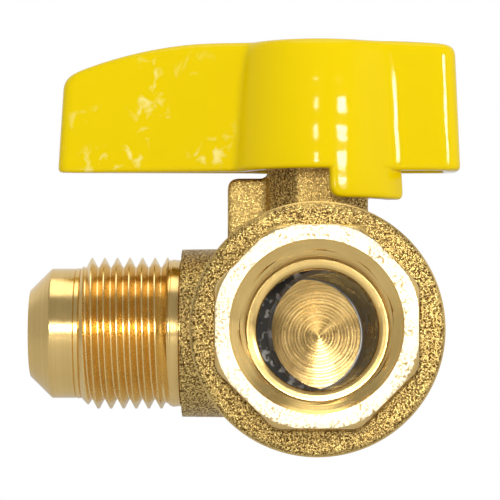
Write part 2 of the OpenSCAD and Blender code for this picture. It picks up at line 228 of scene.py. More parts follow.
def field_solid(name, field, low, high, pitch, body, slot, smooth_angle=50.0):
    """Meshes the zero surface of field(x, y, z) in a box, and settles its points onto the true surface."""
    low = np.array(low, float)
    counts = np.ceil((np.array(high, float) - low) / pitch).astype(int) + 1
    axes = [low[i] + pitch * np.arange(counts[i]) for i in range(3)]
    x, y, z = np.meshgrid(*axes, indexing="ij", sparse=True)
    values = field(x, y, z).astype(np.float32)
    grid = openvdb.FloatGrid(float(pitch * 4))
    grid.copyFromArray(values)
    points, quads = grid.convertToQuads(isovalue=0.0)
    p = low + points.astype(float) * pitch
    p = settle(field, p)
    faces = [tuple(int(i) for i in q[::-1]) for q in quads]
    return mesh_object(name, p, faces, body, smooth_angle)


def settle(field, p, rounds=2, step=0.01):
    """Newton steps that bring points onto the zero surface of a field."""
    for _ in range(rounds):
        here = field(p[:, 0], p[:, 1], p[:, 2])
        slope = np.empty_like(p)
        for i in range(3):
            q = p.copy()
            q[:, i] += step
            slope[:, i] = (field(q[:, 0], q[:, 1], q[:, 2]) - here) / step
        size = np.maximum((slope ** 2).sum(1), 0.05)
        p = p - slope * np.clip(here / size, -0.2, 0.2)[:, None]
    return p


def round_bar(along, radial, start, end, radius, edge):
    """Distance field of a round bar with rounded rims."""
    side = radial - radius
    ends = np.maximum(start - along, along - end)
    return smooth_max(side, ends, edge)


# ---------------------------------------------------------------- forged body

# The belly runs back from the cap's flange and ends in a dome that is flatter than a ball.
BELLY_R = 15.28
FLANGE_BACK = 12.5
BACK_Y = 45.0
DOME_R = 15.9
DOME_START = 29.0
DOME_SQUASH = 0.92
# The arm towards the flare end, with its forging draft.
ARM_R = 10.55
ARM_END = 17.1
ARM_DRAFT = 0.012
# The eight-sided neck, and the two lugs that stop the lever's tab.
NECK_HALF = 6.3
NECK_TOP = 22.0
LUG_TOP = 19.5
LEFT_LUG_REACH = 11.4
LEFT_LUG_FRONT = -1.3
LEFT_LUG_THICKNESS = 4.5
RIGHT_LUG_REACH = 9.9
RIGHT_LUG_BOTTOM = 17.3
RIGHT_LUG_THICKNESS = 2.4
RIGHT_LUG_ANGLE = math.radians(-24.0)
# The hollows bored from the port.
SEAL_RECESS_R = 14.3
SEAL_RECESS_END = 14.0
SPIGOT_BORE_R = 13.25
SPIGOT_BORE_END = 19.95
CHAMBER_R = 11.8
CHAMBER_END = 32.8
SEAT_POCKET_R = 11.0
SEAT_POCKET_END = 36.8
DRILL_R = 7.6
DRILL_END = 38.0
DRILL_HALF_ANGLE = math.radians(80.0)
# The hollows bored from the flare end and from the neck.
FLARE_BORE_R = 5.2
STEM_COLLAR_BORE_R = 5.9
STEM_COLLAR_BORE_END = 14.3
STEM_BORE_R = 3.85
BODY_BOX = (-18, 11.5, -16.5), (16.5, 46, 23)
BODY_PITCH = 0.24


def body_field(x, y, z):
    """Belly, arm root, neck and stop lugs, blended as a forging."""
    from_port = np.sqrt(x ** 2 + z ** 2)
    belly = round_bar(y, from_port, FLANGE_BACK, BACK_Y, BELLY_R, 0.5)
    into_dome = DOME_SQUASH * np.maximum(y - DOME_START, 0)
    belly = smooth_max(belly, np.sqrt(from_port ** 2 + into_dome ** 2) - DOME_R, 2.0)
    ys = y - STEM_Y
    from_flare = np.sqrt(ys ** 2 + z ** 2) + (-x - ARM_END) * ARM_DRAFT
    arm = round_bar(-x, from_flare, 0.0, ARM_END + 0.5, ARM_R, 0.3)
    return smooth_min(smooth_min(belly, arm, 0.7), neck_field(x, ys, z), 0.4)


def neck_field(x, ys, z):
    """The eight-sided neck with its left lug square to the arm and its right lug turned forward."""
    flats = np.maximum(np.abs(x), np.abs(ys))
    slants = (np.abs(x) + np.abs(ys)) * math.sqrt(0.5)
    neck = round_bar(z, smooth_max(flats, slants, 0.35), 0.0, NECK_TOP, NECK_HALF, 0.5)
    left = lug_field(-x, ys - LEFT_LUG_FRONT, z, LEFT_LUG_REACH, 0.0, LEFT_LUG_THICKNESS)
    xr = x * math.cos(RIGHT_LUG_ANGLE) + ys * math.sin(RIGHT_LUG_ANGLE)
    yr = -x * math.sin(RIGHT_LUG_ANGLE) + ys * math.cos(RIGHT_LUG_ANGLE)
    right = lug_field(xr, yr, z, RIGHT_LUG_REACH, RIGHT_LUG_BOTTOM, RIGHT_LUG_THICKNESS)
    return smooth_min(smooth_min(neck, left, 1.1), right, 0.8)


def lug_field(outward, across, z, reach, bottom, thickness):
    """Distance field of one stop lug with forged, rounded corners."""
    side = smooth_max(outward - reach, z - LUG_TOP, 1.5)
    side = smooth_max(side, np.maximum(bottom - z, -outward), 0.8)
    return smooth_max(side, np.maximum(-across, across - thickness), 0.6)


def body_hollow(mats):
    """The hollows machined into the body, and the square end of its arm, as closed cutters."""
    cone = DRILL_R / math.tan(DRILL_HALF_ANGLE)
    port = [(11.4, 0.0), (11.4, SEAL_RECESS_R), (SEAL_RECESS_END, SEAL_RECESS_R),
            (SEAL_RECESS_END, SPIGOT_BORE_R), (SPIGOT_BORE_END, SPIGOT_BORE_R),
            (SPIGOT_BORE_END, CHAMBER_R), (CHAMBER_END, CHAMBER_R),
            (CHAMBER_END, SEAT_POCKET_R), (SEAT_POCKET_END, SEAT_POCKET_R),
            (SEAT_POCKET_END, DRILL_R), (DRILL_END, DRILL_R), (DRILL_END + cone, 0.0)]
    flare = [(4.0, 0.0), (4.0, FLARE_BORE_R), (18.5, FLARE_BORE_R), (18.5, 0.0)]
    stem = [(6.0, 0.0), (6.0, STEM_COLLAR_BORE_R), (STEM_COLLAR_BORE_END, STEM_COLLAR_BORE_R),
            (STEM_COLLAR_BORE_END, STEM_BORE_R), (21.3, STEM_BORE_R), (22.6, 4.6), (22.6, 0.0)]
    beyond = [(ARM_END, 0.0), (ARM_END, 11.5), (ARM_END + 1.5, 11.5), (ARM_END + 1.5, 0.0)]
    return [cutter("cut_port", "port", port, mats["bore_brass"]),
            cutter("cut_flare", "flare", flare, mats["bore_brass"], 96),
            cutter("cut_stem", "stem", stem, mats["bore_brass"], 96),
            cutter("cut_square", "flare", beyond, mats["forged_brass"], 96)]


def make_body(mats):
    """The forging with its machined hollows."""
    body = field_solid("body_forging", body_field, *BODY_BOX, BODY_PITCH, "body", "forged_brass")
    body.data.materials.append(mats["forged_brass"])
    subtract(body, body_hollow(mats))
    tidy_mesh(body)
    body.data.materials.append(mats["drill_brass"])
    drill = len(body.data.materials) - 1
    for face in body.data.polygons:
        x, y, z = face.center / MM
        if DRILL_END - 0.1 < y < DRILL_END + 2.0 and math.hypot(x, z) < DRILL_R - 0.02:
            face.material_index = drill
    shade(body, 42.0)
    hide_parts("valve_body")


# ---------------------------------------------------------------- flare outlet

FLARE_PITCH = 1.5875
FLARE_CREST = 9.525
FLARE_ROOT = 8.33
THREAD_IN = 18.6
THREAD_OUT = 29.75
COLLAR_R = 9.2
NOSE_R = 8.16
# One thread's outline: shares of the pitch, and heights from root (0) to crest (1).
THREAD_PHASES = (0.0, 0.05, 0.2, 0.35, 0.455, 0.545, 0.65, 0.8, 0.95)
THREAD_HEIGHTS = (0.0, 0.0, 0.37, 0.74, 1.0, 1.0, 0.74, 0.37, 0.0)


def thread_rows(start, length, pitch, angles):
    """Distance along the axis and height above the root for every row of a right-hand helical thread."""
    turns = int(math.ceil(length / pitch)) + 1
    steps = np.concatenate([np.array(THREAD_PHASES) + i for i in range(turns)] + [[float(turns)]])
    heights = np.concatenate([np.array(THREAD_HEIGHTS)] * turns + [[THREAD_HEIGHTS[0]]])
    along = start + pitch * (steps[None, :] - 1.0 + (angles / TURN)[:, None])
    return np.clip(along, start, start + length), np.tile(heights, (len(angles), 1))


def make_flare(mats):
    """The turned flare end: sealing cone, nose, right-hand thread, collar and bore."""
    steps = 240
    angles = full_turn(steps)
    collar = supported([(16.6, FLARE_BORE_R), (16.6, 9.0), (17.2, 9.0), (17.35, COLLAR_R), (18.3, 9.3),
                        (18.45, COLLAR_R)])
    nose = supported([(29.85, 8.1), (29.95, 8.2), (30.4, 8.2), (30.48, 8.06), (30.58, NOSE_R),
                      (33.45, NOSE_R), (33.56, 8.12), (33.66, 8.04), (33.72, 7.98), (36.1, 5.65),
                      (36.25, 5.5), (36.3, 5.35), (36.25, 5.24), (36.1, FLARE_BORE_R),
                      (30.0, FLARE_BORE_R)])
    along, height = thread_rows(THREAD_IN, THREAD_OUT - THREAD_IN, FLARE_PITCH, angles)
    radius = FLARE_ROOT + (FLARE_CREST - FLARE_ROOT) * height
    run_out = COLLAR_R - (along - THREAD_IN) * 0.9
    chamfer = 8.3 + (THREAD_OUT - along) * 1.05
    fade_in = COLLAR_R + (along - THREAD_IN) * 1.2
    radius = np.maximum(radius, np.maximum(run_out, FLARE_ROOT))
    radius = np.minimum(radius, np.minimum(chamfer, fade_in))
    t, r = side_by_side(all_round(collar, steps), (along, radius), all_round(nose, steps))
    first = len(collar)
    helix = (first, first + along.shape[1] - 1, len(THREAD_PHASES))
    flare = swept("flare_end", "flare", t, r, angles, "body", helix, 25.0)
    flare.data.materials.append(mats["flare_brass"])
    flare.data.materials.append(mats["thread_brass"])
    for face in flare.data.polygons:
        x, y, z = face.center / MM
        if THREAD_IN + 0.4 < -x < THREAD_OUT and math.hypot(y - STEM_Y, z) > 8.0:
            face.material_index = 1
    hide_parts("valve_body")


# ---------------------------------------------------------------- end cap

OCT_HALF = 12.25
OCT_CORNER = 13.05
OCT_FACE_CORNER = 12.5
OCT_LENGTH = 9.0
FLANGE_R = 15.65
SPIGOT_R = 13.2
SPIGOT_END = 19.9
GLAND_R = 12.9
SEAL_EDGE = 14.0
SEAT_SHOULDER = 15.2
PASSAGE_R = 7.5
# The tapered pipe thread inside the octagon, and the chamfer at its mouth.
PORT_PITCH = 1.814
PORT_CREST = 9.2
PORT_ROOT = 10.35
PORT_TAPER = 1.0 / 32.0
PORT_LEAD = 0.35
PORT_DEPTH = 13.6
MOUTH_R = 10.5
RELIEF_R = 8.78
FORGED, FACED, BORE, FLATS = range(4)


def octagon_radius(angles):
    """Radius of the octagon's flats at each angle."""
    eighth = TURN / 8
    off = (angles + eighth / 2) % eighth - eighth / 2
    return OCT_HALF / np.cos(off)


def smooth_corner(a, b, k):
    """The smaller of an array and a value, with the corner between them rounded."""
    h = np.clip(0.5 + 0.5 * (b - a) / k, 0.0, 1.0)
    return b + (a - b) * h - k * h * (1.0 - h)


def octagon_rows(angles):
    """The octagon's side from its face to the flange, with corners turned down towards the face."""
    flats = octagon_radius(angles)
    sides = smooth_corner(flats, OCT_CORNER, 0.18)
    rim = smooth_corner(flats, OCT_FACE_CORNER, 0.12)
    rows = []
    for t, blend, shrink in ((0.0, 0.0, 0.14), (0.03, 0.08, 0.07), (0.12, 0.25, 0.0), (0.3, 0.55, 0.0),
                             (0.55, 0.9, 0.0), (0.8, 1.0, 0.0), (2.0, 1.0, 0.0), (5.0, 1.0, 0.0),
                             (OCT_LENGTH - 0.7, 1.0, 0.0)):
        rows.append((t, rim + (sides - rim) * blend - shrink))
    for t, grow in ((OCT_LENGTH - 0.35, 0.12), (OCT_LENGTH - 0.12, 0.35)):
        rows.append((t, sides + grow))
    along = np.tile([t for t, _ in rows], (len(angles), 1))
    return along, np.stack([radius for _, radius in rows], 1)


def pipe_thread_rows(angles):
    """The tapered pipe thread with its mouth chamfer, first-thread fade and run-out."""
    along, height = thread_rows(PORT_LEAD, PORT_DEPTH - PORT_LEAD, PORT_PITCH, angles)
    taper = along * PORT_TAPER
    crest = PORT_CREST - taper
    mouth = 10.1 - (along - PORT_LEAD) * 1.45
    fade_in = np.maximum(mouth, crest) + np.clip((along - 1.1) * 0.6, 0.0, 2.0)
    run_out = PORT_ROOT - taper - np.clip((along - 10.6) * 0.55, 0.0, PORT_ROOT - 8.8)
    radius = PORT_ROOT - taper - (PORT_ROOT - PORT_CREST) * height
    radius = np.maximum(radius, np.maximum(mouth, crest))
    radius = np.minimum(radius, np.maximum(run_out, RELIEF_R))
    return along, np.maximum(np.minimum(radius, fade_in), RELIEF_R)


def make_cap(mats):
    """The end cap: faced octagon, rough flange, pipe thread and seat spigot in one closed mesh."""
    steps = 480
    angles = full_turn(steps)
    outside = octagon_rows(angles)
    flange = [(OCT_LENGTH, 13.75), (OCT_LENGTH, 14.3), (OCT_LENGTH, 14.9), (9.06, 15.2), (9.2, 15.4),
              (9.28, 15.46), (9.5, 15.63), (9.9, FLANGE_R), (11.9, FLANGE_R), (12.25, 15.58),
              (FLANGE_BACK, 15.35), (FLANGE_BACK, GLAND_R), (SEAL_EDGE, GLAND_R), (SEAL_EDGE, SPIGOT_R),
              (SPIGOT_END, SPIGOT_R), (SPIGOT_END, SEAT_POCKET_R), (SEAT_SHOULDER, SEAT_POCKET_R),
              (SEAT_SHOULDER, PASSAGE_R), (14.3, PASSAGE_R), (14.05, 7.62), (13.9, 7.9), (13.85, 8.3),
              (13.8, 8.72), (13.75, 8.76)]
    along, radius = pipe_thread_rows(angles)
    face = [(0.04, MOUTH_R - 0.04), (0.0, MOUTH_R), (0.0, 10.56), (0.0, 11.0), (0.0, 11.5)]
    t, r = side_by_side(outside, all_round(flange, steps), (along[:, ::-1], radius[:, ::-1]),
                        all_round(face, steps))
    first = outside[0].shape[1] + len(flange)
    helix = (first, first + along.shape[1] - 1, -len(THREAD_PHASES))
    cap = swept("end_cap_body", "port", t, r, angles, "body", helix, 28.0)
    for key in ("forged_brass", "faced_brass", "bore_brass", "flats_brass"):
        cap.data.materials.append(mats[key])
    for polygon in cap.data.polygons:
        x, y, z = polygon.center / MM
        polygon.material_index = cap_finish(y, math.hypot(x, z))
    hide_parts("end_cap")


def cap_finish(y, radial):
    """Which finish a place on the cap has: rough flange, faced front, turned bore or milled flats."""
    if 9.25 < y < 9.95 and radial > 15.44:
        return FLATS
    if radial > 13.3 or (y > OCT_LENGTH - 0.4 and radial > 12.0):
        return FORGED
    if y < 0.02 and radial > MOUTH_R:
        return FACED
    return FLATS if radial > 11.6 else BORE


# ---------------------------------------------------------------- ball

BALL_R = 11.5
BALL_BORE_R = 7.25
BALL_EDGE_R = 7.12
BALL_SIDE_R = 5.5
BALL_TURN = math.radians(10.5)
TANG_HALF = 2.58
TANG_FLOOR = 8.92


def about_stem(angle):
    """A turn about the stem's axis."""
    there = Matrix.Translation((0, STEM_Y * MM, 0))
    return there @ Matrix.Rotation(angle, 4, "Z") @ there.inverted()


def plain_ball(name):
    """A ball around the crossing of the port's axis and the stem's axis."""
    bm = bmesh.new()
    bmesh.ops.create_uvsphere(bm, u_segments=256, v_segments=128, radius=BALL_R * MM)
    mesh = bpy.data.meshes.new(name)
    bm.to_mesh(mesh)
    bm.free()
    mesh.transform(Matrix.Translation((0, STEM_Y * MM, 0)))
    ball = bpy.data.objects.new(name, mesh)
    bpy.context.scene.collection.objects.link(ball)
    return ball


def make_ball(mats):
    """The plated ball with its through bore, side hole, tang slot and broken edges."""
    ball = plain_ball("ball_plated")
    far = math.sqrt(BALL_R ** 2 - BALL_BORE_R ** 2)
    bore = [(-13.0, 0.0), (-13.0, 9.6), (-8.35, 7.85), (-7.85, BALL_BORE_R), (far - 0.47, BALL_BORE_R),
            (far - 0.42, BALL_EDGE_R), (far - 0.1, BALL_EDGE_R), (far + 0.2, 7.4), (13.0, 8.6), (13.0, 0.0)]
    side = [(-0.5, 0.0), (-0.5, BALL_SIDE_R), (9.7, BALL_SIDE_R), (10.2, 5.9), (13.0, 6.6), (13.0, 0.0)]
    cut_bore = cutter("cut_bore", "port", [(a + STEM_Y, b) for a, b in bore], mats["ball_bore"])
    cut_side = cutter("cut_side", "flare", side, mats["ball_bore"], 128)
    for tool in (cut_bore, cut_side):
        tool.data.transform(about_stem(BALL_TURN))
    slot = box_cutter("cut_slot", (-12.0, STEM_Y - TANG_HALF, TANG_FLOOR),
                      (12.0, STEM_Y + TANG_HALF, 13.0), mats["chrome"])
    ball.data.materials.append(mats["chrome"])
    subtract(ball, [cut_bore, cut_side, slot])
    tidy_mesh(ball)
    ball.data.materials.append(mats["ball_edge"])
    edge = len(ball.data.materials) - 1
    unturned = about_stem(-BALL_TURN)
    for face in ball.data.polygons:
        x, y, z = unturned @ face.center / MM
        if y - STEM_Y > far - 0.6 and math.hypot(x, z) < 7.2:
            face.material_index = edge
    shade(ball, 25.0)
    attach(ball, "ball")
    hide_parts("ball")


# ---------------------------------------------------------------- lever

HANDLE_BOTTOM = 20.1
HANDLE_TOP = 36.45
HUB_BOTTOM_R = 11.75
HUB_DRAFT = 1.0 / 16.0
CROWN_START = 29.4
# The tapering arm, whose top falls in an arc to its tip.
ARM_ROOT = 9.0
ARM_ROOT_HALF = 5.8
ARM_TIP = 32.9
ARM_TIP_HALF = 1.95
ARC_START = 12.0
ARC_R = 52.4
# The short tail on the other side.
TAIL_HALF = 7.5
TAIL_END = 17.85
# The hollow underneath, with the stem's boss and a rib along the lever.
HUB_INSIDE_R = 9.45
WALL = 2.1
ROOF = 3.0
BOSS_R = 6.9
BOSS_BOTTOM = 22.2
RIB_HALF = 0.9
# The stop tab on the hub's wall.
TAB_LOW = 16.4
TAB_START = math.radians(-82.0)
TAB_END = math.radians(-24.8)
# The stem's socket, the screw's hole and the recess for its head.
SOCKET_R = 3.85
SOCKET_HALF = 2.75
SOCKET_TOP = 30.5
SCREW_HOLE_R = 2.1
RECESS_FLOOR = 31.5
RECESS_R = 5.2
LEVER_BOX = (-34.0, 13.4, 15.8), (18.4, 38.6, 36.8)
LEVER_PITCH = 0.22


def handle_field(x, y, z):
    """Hub, arm, tail and stop tab of the die-cast lever, hollow underneath."""
    ys = y - STEM_Y
    up = z - HANDLE_BOTTOM
    from_stem = np.sqrt(x ** 2 + ys ** 2)
    outline_top = lever_top(x, z)
    bottom = HANDLE_BOTTOM + np.maximum(ys + 4.0, 0.0) * 0.05 - z
    crown = np.maximum(z - CROWN_START, 0.0) ** 2 * 0.010
    hub = from_stem - HUB_BOTTOM_R + up * HUB_DRAFT + crown
    plan = smooth_min(smooth_min(hub, arm_plan(x, ys, up, 0.0), 0.6), tail_plan(x, ys, up, 0.0), 1.5)
    shell = smooth_max(smooth_max(plan, outline_top, 1.5), bottom, 0.7)
    inner = np.minimum(from_stem - HUB_INSIDE_R, arm_plan(x, ys, up, WALL))
    inner = smooth_max(np.minimum(inner, tail_plan(x, ys, up, WALL)), outline_top + ROOF, 0.8)
    boss = np.maximum(from_stem - BOSS_R, BOSS_BOTTOM - z)
    rib = np.maximum(np.abs(ys) - RIB_HALF, BOSS_BOTTOM - z)
    inner = smooth_max(inner, -np.minimum(boss, rib), 0.6)
    return np.minimum(smooth_max(shell, -inner, 0.5), tab_field(x, ys, z))


def lever_top(x, z):
    """Height above the lever's top: flat over the hub, then an arc down to the arm's tip."""
    away = np.maximum(-x - ARC_START, 0.0)
    arc = np.sqrt(away ** 2 + np.maximum(z + ARC_R - HANDLE_TOP, 0.0) ** 2) - ARC_R
    tail_fall = np.maximum((x - 9.0) * 0.05, 0.0)
    return smooth_max(arc, z - HANDLE_TOP + tail_fall, 0.2)


def arm_plan(x, ys, up, inset):
    """The arm seen from above, drafted towards its top and set in by a wall's thickness."""
    half = ARM_ROOT_HALF + (x + ARM_ROOT) * (ARM_ROOT_HALF - ARM_TIP_HALF) / (ARM_TIP - ARM_ROOT)
    half = half - up * 0.028
    side = (np.abs(ys) - half) * 0.986
    tip = -x - ARM_TIP + up * 0.06
    return np.maximum(smooth_max(side, tip, 1.6 if inset == 0.0 else 0.4), x) + inset


def tail_plan(x, ys, up, inset):
    """The short tail seen from above, drafted towards its top and set in by a wall's thickness."""
    side = np.abs(ys) - TAIL_HALF + (x - 9.0) * 0.06 + up * 0.034
    end = x - TAIL_END + up * 0.04
    block = smooth_max(side, end, 2.2 if inset == 0.0 else 0.6)
    return np.maximum(block, -x) + inset


def tab_field(x, ys, z):
    """The stop tab that hangs from the hub's wall."""
    from_stem = np.sqrt(x ** 2 + ys ** 2)
    up = z - HANDLE_BOTTOM
    wall = smooth_max(from_stem - HUB_BOTTOM_R + up * HUB_DRAFT, HUB_INSIDE_R - from_stem, 0.7)
    before = x * math.sin(TAB_START) - ys * math.cos(TAB_START)
    after = ys * math.cos(TAB_END) - x * math.sin(TAB_END)
    low = TAB_LOW - z
    flat = smooth_max(smooth_max(before, low, 1.8), smooth_max(after, low, 1.0), 0.3)
    return smooth_max(wall, np.maximum(flat, up - 3.0), 0.7)


def make_handle(mats):
    """The coated lever with its stem socket and screw recess."""
    handle = field_solid("lever_casting", handle_field, *LEVER_BOX, LEVER_PITCH, "lever",
                         "yellow_coating", 60.0)
    coat = mats["yellow_coating"]
    handle.data.materials.append(coat)
    recess = [(RECESS_FLOOR, 0.0), (RECESS_FLOOR, 5.0), (31.7, RECESS_R), (35.6, RECESS_R), (36.0, 5.45),
              (36.6, 6.2), (37.5, 6.2), (37.5, 0.0)]
    hole = [(29.0, 0.0), (29.0, SCREW_HOLE_R), (32.0, SCREW_HOLE_R), (32.0, 0.0)]
    round_socket = [(21.0, 0.0), (21.0, SOCKET_R), (30.0, SOCKET_R), (30.0, 0.0)]
    tools = [cutter("cut_recess", "stem", recess, coat, 128), cutter("cut_hole", "stem", hole, coat, 64),
             cutter("cut_socket", "stem", round_socket, coat, 96)]
    flats = box_cutter("keep", (-6, STEM_Y - SOCKET_HALF, 20.5), (6, STEM_Y + SOCKET_HALF, SOCKET_TOP),
                       coat)
    boolean(tools[-1], flats, "INTERSECT")
    subtract(handle, tools)
    tidy_mesh(handle)
    shade(handle, 50.0)
    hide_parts("handle")


# ---------------------------------------------------------------- screw and washer

SHANK_R = 1.93
HEAD_UNDER = 32.4
CROSS_REACH = 2.1
CROSS_HALF = 0.42
CROSS_FLOOR = 33.3
WASHER_BOTTOM = 31.5
WASHER_THICKNESS = 0.9


def make_screw(mats):
    """Pan-head cross-recess screw."""
    profile = [(23.5, 0.0), (23.5, 1.5), (23.9, SHANK_R), (32.2, SHANK_R), (HEAD_UNDER, 2.05),
               (HEAD_UNDER, 3.75), (32.5, 3.88), (33.3, 3.9), (34.0, 3.72), (34.6, 3.25), (34.9, 2.5),
               (35.0, 1.6), (35.0, 0.0)]
    zinc = mats["zinc_steel"]
    screw = turned("screw_pan_head", "stem", profile, "lever", steps=96, smooth_angle=40.0)
    screw.data.materials.append(zinc)
    wings = [box_cutter(name, (-wide, STEM_Y - deep, CROSS_FLOOR), (wide, STEM_Y + deep, 36), zinc)
             for name, wide, deep in (("cut_a", CROSS_REACH, CROSS_HALF), ("cut_b", CROSS_HALF, CROSS_REACH))]
    subtract(screw, wings)
    tidy_mesh(screw)
    shade(screw, 35.0)
    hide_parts("handle_screw")


def make_washer(mats):
    """Split lock washer: a square-section ring with a slanted gap and a slight rise."""
    steps = 96
    gap = math.radians(9.0)
    slant = 0.12
    rise = 0.048
    section = ((2.1, 0.05), (3.3, 0.05), (3.4, 0.13), (3.4, 0.77), (3.3, 0.85), (2.1, 0.85))
    points = []
    for i in range(steps + 1):
        share = i / steps
        for r, h in section:
            a = gap + (TURN - 2 * gap) * share + (h - WASHER_THICKNESS / 2) * slant
            height = WASHER_BOTTOM + h + rise * (share - 0.5)
            points.append((r * math.cos(a), STEM_Y + r * math.sin(a), height))
    n = len(section)
    faces = [[i * n + k, i * n + (k + 1) % n, (i + 1) * n + (k + 1) % n, (i + 1) * n + k]
             for i in range(steps) for k in range(n)]
    faces.append(list(range(n))[::-1])
    faces.append([steps * n + k for k in range(n)])
    washer = mesh_object("split_washer", points, faces, "lever", 30.0)
    washer.data.materials.append(mats["zinc_steel"])
    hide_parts("lock_washer")


# ---------------------------------------------------------------- materials

class Nodes:
    """Short names for building a node tree."""

    def __init__(self, tree, coordinates):
        self.tree = tree
        self.tree.nodes.clear()
        self.coords = self.tree.nodes.new("ShaderNodeTexCoord").outputs[coordinates]

    def link(self, a, b):
        self.tree.links.new(a, b)

    def feed(self, socket, value):
        """Joins an output to a socket, or sets a plain value on it."""
        if isinstance(value, bpy.types.NodeSocket):
            self.link(value, socket)
        else:
            socket.default_value = value

    def noise(self, scale, detail=3.0, rough=0.5, vector=None, distortion=0.0):
        node = self.tree.nodes.new("ShaderNodeTexNoise")
        node.inputs["Scale"].default_value = scale
        node.inputs["Detail"].default_value = detail
        node.inputs["Roughness"].default_value = rough
        node.inputs["Distortion"].default_value = distortion
        self.link(vector or self.coords, node.inputs["Vector"])
        return node.outputs["Fac"]

    def cells(self, scale):
        """Distance from the nearest of many scattered points."""
        node = self.tree.nodes.new("ShaderNodeTexVoronoi")
        node.inputs["Scale"].default_value = scale
        self.link(self.coords, node.inputs["Vector"])
        return node.outputs["Distance"]

    def math(self, op, a, b=0.0, c=0.0):
        node = self.tree.nodes.new("ShaderNodeMath")
        node.operation = op
        for socket, value in zip(node.inputs, (a, b, c)):
            self.feed(socket, value)
        return node.outputs[0]

    def ramp(self, value, low, high, to_low=0.0, to_high=1.0):
        node = self.tree.nodes.new("ShaderNodeMapRange")
        for key, v in (("Value", value), ("From Min", low), ("From Max", high), ("To Min", to_low),
                       ("To Max", to_high)):
            self.feed(node.inputs[key], v)
        return node.outputs["Result"]

    def mix(self, share, a, b):
        node = self.tree.nodes.new("ShaderNodeMix")
        node.data_type = "RGBA"
        self.feed(node.inputs["Factor"], share)
        self.feed(node.inputs["A"], a if isinstance(a, bpy.types.NodeSocket) else (*a, 1.0))
        self.feed(node.inputs["B"], b if isinstance(b, bpy.types.NodeSocket) else (*b, 1.0))
        return node.outputs["Result"]

    def bump(self, height, strength, distance_mm):
        node = self.tree.nodes.new("ShaderNodeBump")
        node.inputs["Strength"].default_value = strength
        node.inputs["Distance"].default_value = distance_mm * MM
        self.link(height, node.inputs["Height"])
        return node.outputs["Normal"]

    def split(self):
        """The three coordinates of a place."""
        node = self.tree.nodes.new("ShaderNodeSeparateXYZ")
        self.link(self.coords, node.inputs[0])
        return node.outputs

    def join(self, x, y, z):
        node = self.tree.nodes.new("ShaderNodeCombineXYZ")
        for socket, value in zip(node.inputs, (x, y, z)):
            self.feed(socket, value)
        return node.outputs[0]

    def radius(self, axis):
        """Distance from a machining axis, in metres."""
        x, y, z = self.split()
        if axis == "port":
            a, b = x, z
        elif axis == "flare":
            a, b = self.math("SUBTRACT", y, STEM_Y * MM), z
        else:
            a, b = x, self.math("SUBTRACT", y, STEM_Y * MM)
        squares = self.math("ADD", self.math("MULTIPLY", a, a), self.math("MULTIPLY", b, b))
        return self.math("SQRT", squares)

    def along(self, axis):
        """Distance along a machining axis, in metres."""
        return self.split()[{"port": 1, "flare": 0, "stem": 2}[axis]]


class Material(Nodes):
    """A node material around one Principled shader, in object coordinates."""

    def __init__(self, name):
        self.material = bpy.data.materials.new(name)
        self.material.use_nodes = True
        super().__init__(self.material.node_tree, "Object")
        self.bsdf = self.tree.nodes.new("ShaderNodeBsdfPrincipled")
        out = self.tree.nodes.new("ShaderNodeOutputMaterial")
        self.link(self.bsdf.outputs["BSDF"], out.inputs["Surface"])

    def set(self, **values):
        """Feeds the shader's inputs by name, with _ for a space."""
        for key, value in values.items():
            self.feed(self.bsdf.inputs[key.replace("_", " ")], value)

    def brushed_across(self, amount):
        """Spreads highlights across the tangent, as tool grooves do."""
        self.bsdf.inputs["Anisotropic"].default_value = amount
        self.bsdf.inputs["Anisotropic Rotation"].default_value = 0.25


def forged_brass():
    """Shot-blasted forging: fine dark pits between bright peaks, and a painted highlight that lightens the
    left lug's face and the neck's front flat.
    """
    n = Material("forged_brass")
    grain = n.noise(6800.0, 2.0, 0.6)
    medium = n.noise(3700.0, 2.0, 0.5)
    broad = n.noise(420.0, 3.0, 0.5)
    height = n.math("ADD", n.math("MULTIPLY", grain, 0.5), n.math("MULTIPLY", medium, 0.9))
    height = n.math("ADD", height, n.math("MULTIPLY", broad, 0.5))
    mixed = n.math("ADD", n.math("MULTIPLY", grain, 0.55), n.math("MULTIPLY", medium, 0.45))
    pits = n.ramp(mixed, 0.445, 0.57)
    base = n.mix(pits, (0.10, 0.047, 0.010), (0.99, 0.71, 0.24))
    drift = n.ramp(n.noise(110.0, 3.0, 0.5), 0.35, 0.65, 0.0, 0.25)
    x, _, z = n.split()
    # painted highlight: the left lug's face and the neck's front flat are painted paler and free of dark
    # patches, as where the light falls on them
    lug = n.math("MULTIPLY", n.ramp(z, 0.012, 0.014), n.ramp(x, -0.0055, -0.0068))
    neck = n.math("MULTIPLY", n.ramp(z, 0.0142, 0.0155), n.ramp(n.math("ABSOLUTE", x), 0.0031, 0.0024))
    lighter = n.math("MAXIMUM", lug, neck)
    drift = n.math("MULTIPLY", drift, n.math("SUBTRACT", 1.0, lighter))
    base = n.mix(drift, base, (0.36, 0.22, 0.075))
    base = n.mix(n.math("MULTIPLY", lighter, 0.45), base, (0.98, 0.68, 0.22))
    n.set(Base_Color=base, Metallic=1.0, Roughness=n.ramp(pits, 0.0, 1.0, 0.52, 0.22))
    n.set(Normal=n.bump(height, 1.0, 0.13))
    return n.material


def ring_marks(n, axis, period_mm, along_too=True):
    """Fine tool rings about a machining axis, from 0 to 1."""
    r = n.radius(axis)
    travel = n.math("ADD", r, n.along(axis)) if along_too else r
    phase = n.math("MULTIPLY", travel, TURN / (period_mm * MM))
    wobble = n.noise(90.0, 1.0, 0.4)
    phase = n.math("ADD", phase, n.math("MULTIPLY", wobble, 2.0))
    return n.math("MULTIPLY_ADD", n.math("SINE", phase), 0.5, 0.5)


